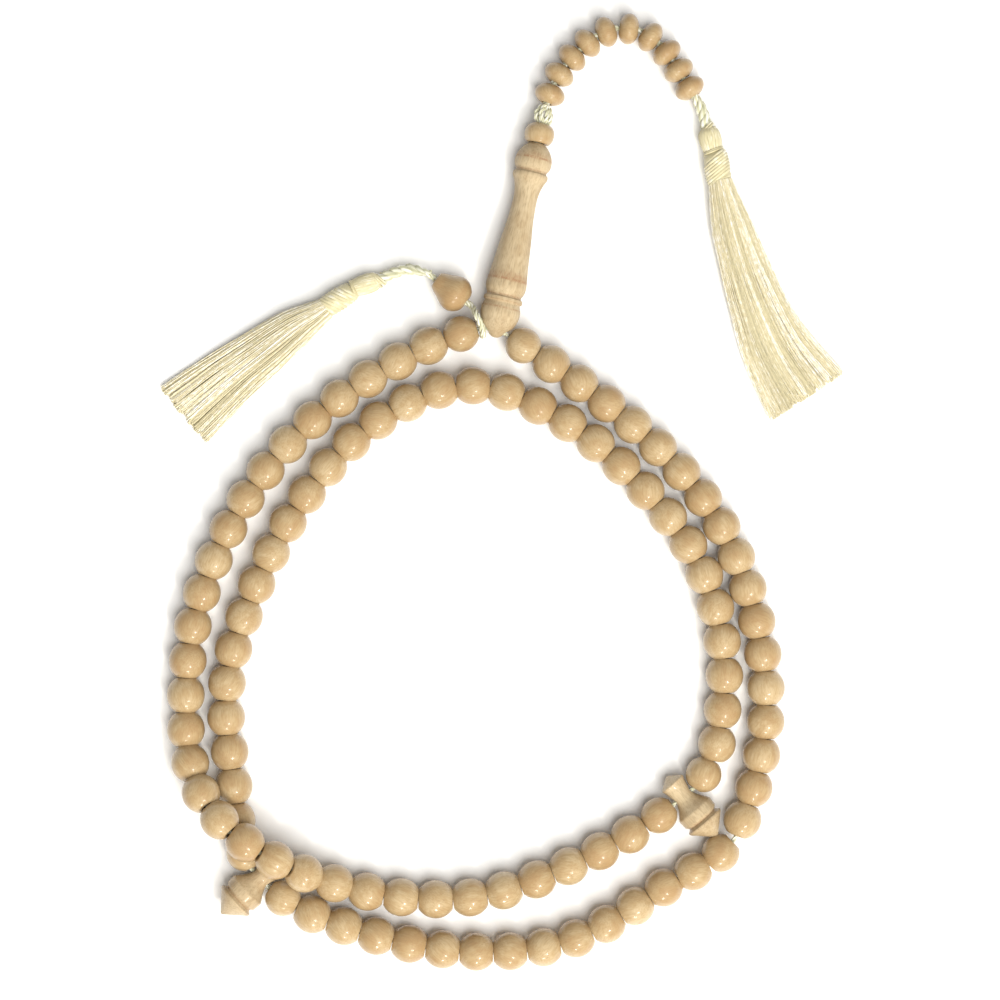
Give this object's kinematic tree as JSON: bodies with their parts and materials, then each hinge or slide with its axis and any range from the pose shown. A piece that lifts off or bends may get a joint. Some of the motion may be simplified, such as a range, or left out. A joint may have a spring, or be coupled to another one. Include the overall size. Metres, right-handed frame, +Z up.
{
  "type": "prayer beads",
  "caption": "Lacquered wooden prayer bead strand in two laps, with dividers, a turned leader, sliding counters, a marker and two thread tassels.",
  "frame": {"origin": "middle of the laid-out object on the table it lies on", "axes": "+Z up from the table, +Y along the leader's pointing side of the lay, +X to the right seen from above"},
  "size_m": [0.148, 0.207, 0.0154],
  "materials": {
    "bead_wood": "gloss",
    "turned_wood": "satin",
    "twisted_cord": "satin",
    "tassel_thread": "satin"
  },
  "bodies": {
    "strand": {"beads_01_to_03": "bead_wood", "beads_04_to_06": "bead_wood", "beads_10_to_13": "bead_wood", "beads_14_to_17": "bead_wood", "beads_18_to_21": "bead_wood", "beads_22_to_25": "bead_wood", "beads_26_to_29": "bead_wood", "beads_30_to_33": "bead_wood", "beads_34_to_36": "bead_wood", "beads_37_to_39": "bead_wood", "beads_43_to_46": "bead_wood", "beads_47_to_50": "bead_wood", "beads_51_to_54": "bead_wood", "beads_55_to_58": "bead_wood", "beads_59_to_62": "bead_wood", "beads_63_to_66": "bead_wood", "beads_67_to_69": "bead_wood", "beads_70_to_73": "bead_wood", "beads_74_to_77": "bead_wood", "beads_78_to_81": "bead_wood", "beads_82_to_85": "bead_wood", "beads_89_to_92": "bead_wood", "beads_93_to_96": "bead_wood", "beads_97_to_99": "bead_wood", "loop_cord": "twisted_cord", "marker_cord": "twisted_cord"},
    "bead_07": {"bead_07": "bead_wood"},
    "bead_08": {"bead_08": "bead_wood"},
    "bead_09": {"bead_09": "bead_wood"},
    "bead_40": {"bead_40": "bead_wood"},
    "bead_41": {"bead_41": "bead_wood"},
    "bead_42": {"bead_42": "bead_wood"},
    "bead_86": {"bead_86": "bead_wood"},
    "bead_87": {"bead_87": "bead_wood"},
    "bead_88": {"bead_88": "bead_wood"},
    "divider_1": {"divider_1": "turned_wood"},
    "divider_2": {"divider_2": "turned_wood"},
    "leader": {"minaret": "turned_wood", "leader_cord": "twisted_cord"},
    "collar": {"collar_bead": "bead_wood"},
    "tail": {"tail_cord": "twisted_cord"},
    "counter_01": {"counter_01": "bead_wood"},
    "counter_02": {"counter_02": "bead_wood"},
    "counter_03": {"counter_03": "bead_wood"},
    "counter_04": {"counter_04": "bead_wood"},
    "counter_05": {"counter_05": "bead_wood"},
    "counter_06": {"counter_06": "bead_wood"},
    "counter_07": {"counter_07": "bead_wood"},
    "counter_08": {"counter_08": "bead_wood"},
    "counter_09": {"counter_09": "bead_wood"},
    "counter_10": {"counter_10": "bead_wood"},
    "tail_tassel": {"tail_tassel_cord": "twisted_cord", "tail_tassel_head": "tassel_thread", "tail_tassel_binding": "twisted_cord", "tail_tassel_fringe": "tassel_thread"},
    "slider": {"slider_bead": "bead_wood"},
    "marker_tassel": {"marker_tassel_cord": "twisted_cord", "marker_tassel_head": "tassel_thread", "marker_tassel_binding": "twisted_cord", "marker_tassel_fringe": "tassel_thread"}
  },
  "joints": [
    {"name": "bead_07_spin", "type": "hinge", "parent": "strand", "child": "bead_07", "pos_m": [-0.04651, 0.01029, 0.004], "axis": [-0.6793, -0.7339, 0], "continuous": true},
    {"name": "bead_08_spin", "type": "hinge", "parent": "strand", "child": "bead_08", "pos_m": [-0.05133, 0.00458, 0.004], "axis": [-0.6081, -0.7938, 0], "continuous": true},
    {"name": "bead_09_spin", "type": "hinge", "parent": "strand", "child": "bead_09", "pos_m": [-0.05561, -0.00155, 0.004], "axis": [-0.5372, -0.8435, 0], "continuous": true},
    {"name": "bead_40_spin", "type": "hinge", "parent": "strand", "child": "bead_40", "pos_m": [0.04353, -0.01795, 0.004], "axis": [-0.3905, 0.9206, 0], "continuous": true},
    {"name": "bead_41_spin", "type": "hinge", "parent": "strand", "child": "bead_41", "pos_m": [0.04007, -0.01138, 0.004], "axis": [-0.5389, 0.8424, 0], "continuous": true},
    {"name": "bead_42_spin", "type": "hinge", "parent": "strand", "child": "bead_42", "pos_m": [0.03571, -0.00536, 0.004], "axis": [-0.632, 0.7749, 0], "continuous": true},
    {"name": "bead_86_spin", "type": "hinge", "parent": "strand", "child": "bead_86", "pos_m": [0.05689, -0.04233, 0.004], "axis": [-0.0497, 0.9988, 0], "continuous": true},
    {"name": "bead_87_spin", "type": "hinge", "parent": "strand", "child": "bead_87", "pos_m": [0.05619, -0.03506, 0.004], "axis": [-0.1411, 0.99, 0], "continuous": true},
    {"name": "bead_88_spin", "type": "hinge", "parent": "strand", "child": "bead_88", "pos_m": [0.05486, -0.02787, 0.004], "axis": [-0.2208, 0.9753, 0], "continuous": true},
    {"name": "divider_1_turn", "type": "hinge", "parent": "strand", "child": "divider_1", "pos_m": [0.0389, -0.0657, 0.004], "axis": [-0.7627, -0.6467, 0], "range_deg": [0, 175]},
    {"name": "divider_2_turn", "type": "hinge", "parent": "strand", "child": "divider_2", "pos_m": [-0.0523, -0.0834, 0.004], "axis": [-0.6694, 0.7429, 0], "range_deg": [0, 22]},
    {"name": "leader_swing", "type": "hinge", "parent": "strand", "child": "leader", "pos_m": [-0.0014, 0.035, 0.00456], "axis": [0, 0, 1], "range_deg": [-4, 4]},
    {"name": "collar_spin", "type": "hinge", "parent": "leader", "child": "collar", "pos_m": [0.00796, 0.07758, 0.00387], "axis": [0.2147, 0.9766, -0.0157], "continuous": true},
    {"name": "tail_swing", "type": "hinge", "parent": "leader", "child": "tail", "pos_m": [0.00886, 0.08168, 0.00381], "axis": [0, 0, 1], "range_deg": [-6, 14]},
    {"name": "counter_01_slide", "type": "slide", "parent": "tail", "child": "counter_01", "axis": [0.3453, 0.9363, -0.0634], "range_m": [-0.00026, 0.00018]},
    {"name": "counter_02_slide", "type": "slide", "parent": "tail", "child": "counter_02", "axis": [0.5161, 0.8561, -0.0248], "range_m": [-0.00018, 0.00008]},
    {"name": "counter_03_slide", "type": "slide", "parent": "tail", "child": "counter_03", "axis": [0.6878, 0.7259, 0], "range_m": [-0.00008, 0.00011]},
    {"name": "counter_04_slide", "type": "slide", "parent": "tail", "child": "counter_04", "axis": [0.7589, 0.6512, 0], "range_m": [-0.00011, 0.00006]},
    {"name": "counter_05_slide", "type": "slide", "parent": "tail", "child": "counter_05", "axis": [0.9353, 0.3538, 0], "range_m": [-0.00006, 0.00011]},
    {"name": "counter_06_slide", "type": "slide", "parent": "tail", "child": "counter_06", "axis": [0.9936, -0.1129, 0], "range_m": [-0.00011, 0.00012]},
    {"name": "counter_07_slide", "type": "slide", "parent": "tail", "child": "counter_07", "axis": [0.8251, -0.5651, 0], "range_m": [-0.00012, 0.00015]},
    {"name": "counter_08_slide", "type": "slide", "parent": "tail", "child": "counter_08", "axis": [0.6144, -0.789, 0], "range_m": [-0.00015, 0.00011]},
    {"name": "counter_09_slide", "type": "slide", "parent": "tail", "child": "counter_09", "axis": [0.5097, -0.8604, 0], "range_m": [-0.00011, 0.00015]},
    {"name": "counter_10_slide", "type": "slide", "parent": "tail", "child": "counter_10", "axis": [0.535, -0.8449, 0], "range_m": [-0.00015, 0.00044]},
    {"name": "tail_tassel_swing", "type": "hinge", "parent": "tail", "child": "tail_tassel", "pos_m": [0.04182, 0.0851, 0.00335], "axis": [0, 0, 1], "range_deg": [-10, 20]},
    {"name": "slider_slide", "type": "slide", "parent": "strand", "child": "slider", "axis": [-0.8014, 0.5981, 0], "range_m": [0, 0.002]},
    {"name": "marker_tassel_swing", "type": "hinge", "parent": "strand", "child": "marker_tassel", "pos_m": [-0.01656, 0.04746, 0.004], "axis": [0, 0, 1], "range_deg": [-16, 7]}
  ]
}
